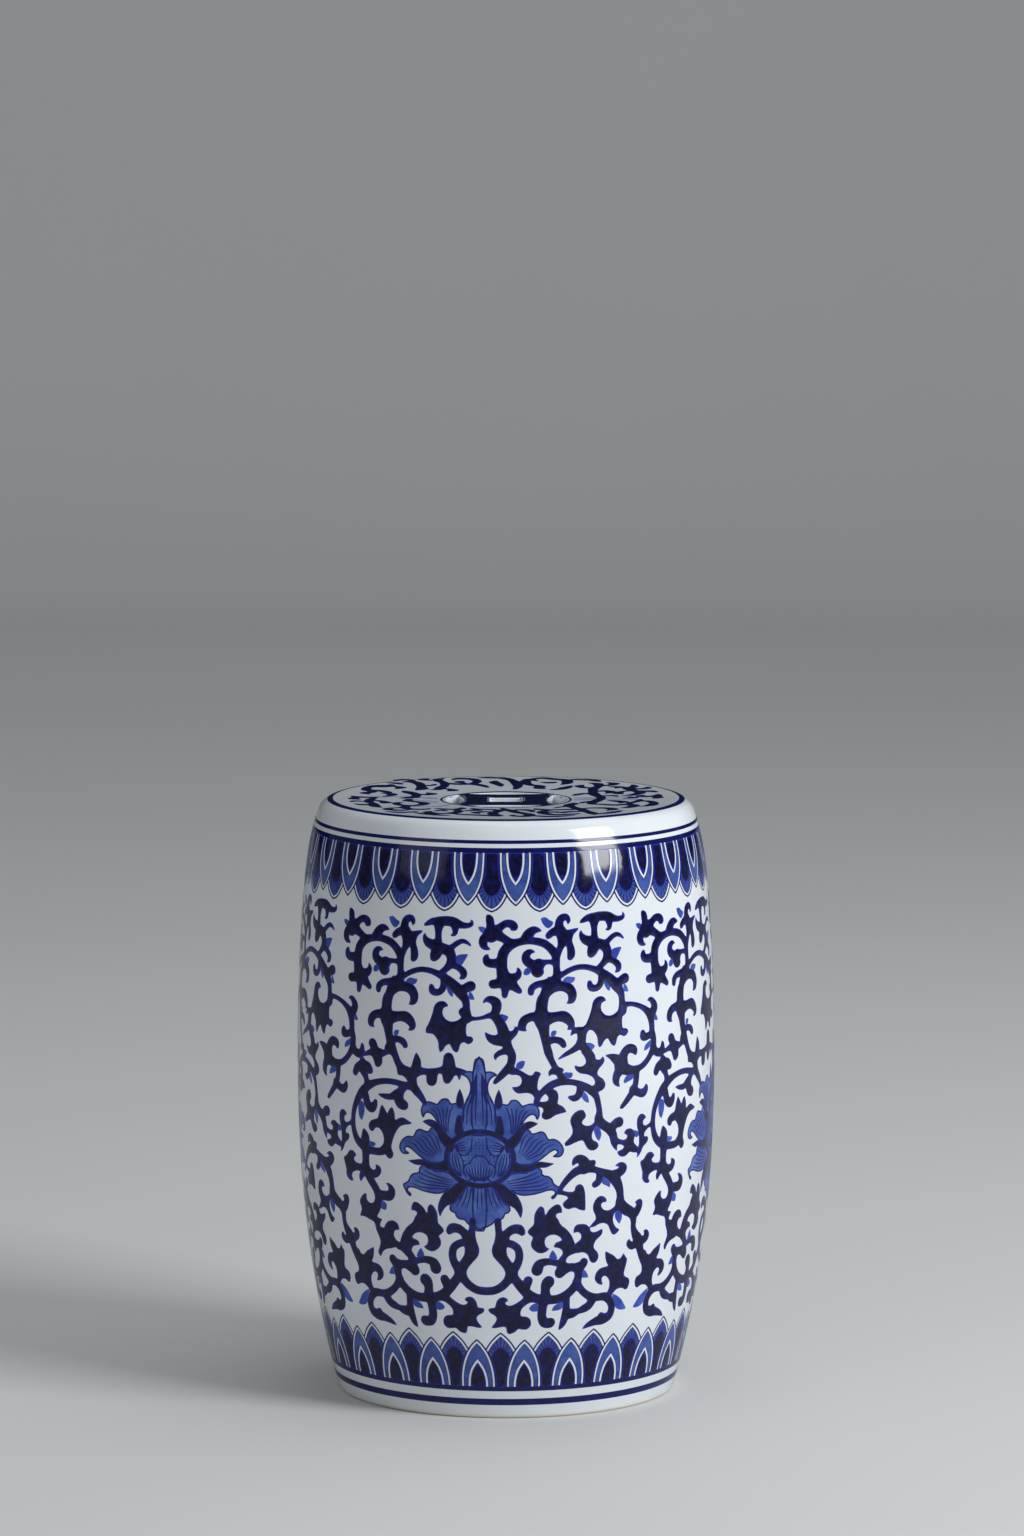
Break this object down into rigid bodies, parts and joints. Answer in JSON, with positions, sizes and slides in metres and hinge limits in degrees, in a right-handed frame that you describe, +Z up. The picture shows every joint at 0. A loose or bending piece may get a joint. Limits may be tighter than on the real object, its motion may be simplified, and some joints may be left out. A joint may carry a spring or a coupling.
{
  "type": "garden stool",
  "caption": "Drum-shaped glazed ceramic garden stool, hollow, with a pierced coin motif in the seat for lifting.",
  "frame": {"origin": "on the floor at the stool's axis, at the centre of the foot's rim", "axes": "+Z up along the axis of the drum; -Y towards the viewer of the picture, with the coin's openings on X and Y"},
  "size_m": [0.3154, 0.3154, 0.45],
  "materials": {
    "glazed_ceramic": "clear gloss glaze over blue painting",
    "joining_slip": "fired slip in the joints",
    "bare_clay": "unglazed fired clay"
  },
  "bodies": {
    "root": {"foot_ring": "glazed_ceramic", "foot_slip": "joining_slip", "lower_barrel": "glazed_ceramic", "waist_slip": "joining_slip", "waist_coil": "bare_clay", "upper_barrel": "glazed_ceramic", "shoulder_slip": "joining_slip", "shoulder_ring": "glazed_ceramic", "seat_slip": "joining_slip", "seat_disc": "glazed_ceramic", "seat_coil": "bare_clay"}
  },
  "joints": []
}
